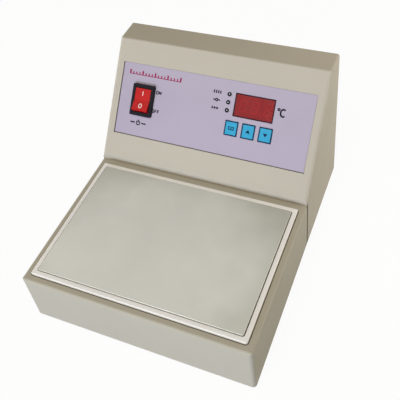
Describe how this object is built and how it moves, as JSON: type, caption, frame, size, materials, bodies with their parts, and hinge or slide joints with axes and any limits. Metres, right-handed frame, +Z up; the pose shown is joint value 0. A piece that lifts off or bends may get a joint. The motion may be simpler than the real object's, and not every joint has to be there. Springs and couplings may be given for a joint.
{
  "type": "heating platform",
  "caption": "Bench heating platform: a low sheet-steel base with a gasketed aluminium hot plate and a sloping control head with display, keys, lamps and a rocker switch.",
  "frame": {"origin": "middle of the footprint, at the undersides of the rubber feet", "axes": "+Z up; the front of the base faces -Y and the control head stands on the +Y side; +X is to the right of someone who faces the controls"},
  "size_m": [0.143, 0.1738, 0.105],
  "materials": {
    "base_paint": "satin cream stove enamel",
    "head_paint": "satin cream stove enamel",
    "zinc_sheet": "zinc-plated sheet, satin",
    "carrier_paint": "matte black paint",
    "foot_rubber": "matte black rubber",
    "screw_steel": "zinc-plated, semi-bright",
    "gasket_silicone": "matte off-white silicone",
    "plate_aluminium": "fine satin, slightly blotchy",
    "heater_mat": "matte orange-brown silicone mat",
    "insulation": "matte mineral fibre board",
    "brass": "plain machined",
    "black_plastic": "semi-gloss black",
    "dark_plastic": "matte dark grey",
    "white_plastic": "matte off-white",
    "label_film": "smooth lavender film, satin",
    "red_filter": "glossy dark red filter",
    "lamp_lens": "small domed lamp, unlit",
    "key_film": "embossed cyan key field",
    "circuit_board": "green solder resist",
    "rocker_red": "glossy red",
    "core_steel": "dark varnished laminations",
    "winding": "amber tape over a winding",
    "relay_blue": "blue case",
    "terminal_green": "green block",
    "fuse_glass": "clear glass with metal caps",
    "lead_jacket": "flexible lead covering"
  },
  "bodies": {
    "platform": {"base_housing": "base_paint", "head_housing": "head_paint", "rear_panel": "head_paint", "bottom_plate": "zinc_sheet", "rubber_feet": "foot_rubber", "foot_screws": "screw_steel", "foot_nuts": "screw_steel", "bottom_screws": "screw_steel", "joining_screws": "screw_steel", "rear_panel_screws": "screw_steel", "plate_gasket": "gasket_silicone", "heating_plate": "plate_aluminium", "heater_element": "heater_mat", "heater_clamp_plate": "zinc_sheet", "clamp_screws": "screw_steel", "insulation_board": "insulation", "plate_posts": "brass", "post_screws": "screw_steel", "temperature_probe": "screw_steel", "thermal_cutout": "black_plastic", "panel_carrier": "carrier_paint", "panel_label": "label_film", "panel_studs": "screw_steel", "panel_nuts": "screw_steel", "display_filter": "red_filter", "display_module": "dark_plastic", "indicator_lamps": "lamp_lens", "lamp_spacers": "white_plastic", "key_switches": "dark_plastic", "control_board": "circuit_board", "board_spacers": "brass", "board_screws": "screw_steel", "control_chip": "dark_plastic", "board_connectors": "white_plastic", "switch_housing": "black_plastic", "switch_terminals": "brass", "power_board": "circuit_board", "power_board_spacers": "brass", "power_board_screws": "screw_steel", "transformer_core": "core_steel", "transformer_coil": "winding", "relay": "relay_blue", "capacitors": "dark_plastic", "terminal_block": "terminal_green", "inlet_socket": "black_plastic", "inlet_pins": "brass", "inlet_screws": "screw_steel", "earth_stud": "screw_steel", "lead_grommet": "foot_rubber", "ribbon_cable": "lead_jacket", "power_leads": "lead_jacket"},
    "rocker": {"rocker": "rocker_red"},
    "set_key": {"set_key": "key_film", "set_key_stem": "white_plastic"},
    "raise_key": {"raise_key": "key_film", "raise_key_stem": "white_plastic"},
    "lower_key": {"lower_key": "key_film", "lower_key_stem": "white_plastic"},
    "fuse_drawer": {"fuse_drawer": "black_plastic", "fuses": "fuse_glass"}
  },
  "joints": [
    {"name": "rocker_tilt", "type": "hinge", "parent": "platform", "child": "rocker", "pos_m": [-0.0481, 0.0431, 0.07476], "axis": [1, 0, 0], "range_deg": [0, 22]},
    {"name": "set_key_press", "type": "slide", "parent": "platform", "child": "set_key", "axis": [0, 0.7631, -0.6463], "range_m": [0, 0.00035], "stiffness_N_per_m": 7000},
    {"name": "raise_key_press", "type": "slide", "parent": "platform", "child": "raise_key", "axis": [0, 0.7631, -0.6463], "range_m": [0, 0.00035], "stiffness_N_per_m": 7000},
    {"name": "lower_key_press", "type": "slide", "parent": "platform", "child": "lower_key", "axis": [0, 0.7631, -0.6463], "range_m": [0, 0.00035], "stiffness_N_per_m": 7000},
    {"name": "fuse_drawer_slide", "type": "slide", "parent": "platform", "child": "fuse_drawer", "axis": [0, 1, 0], "range_m": [0, 0.02]}
  ]
}
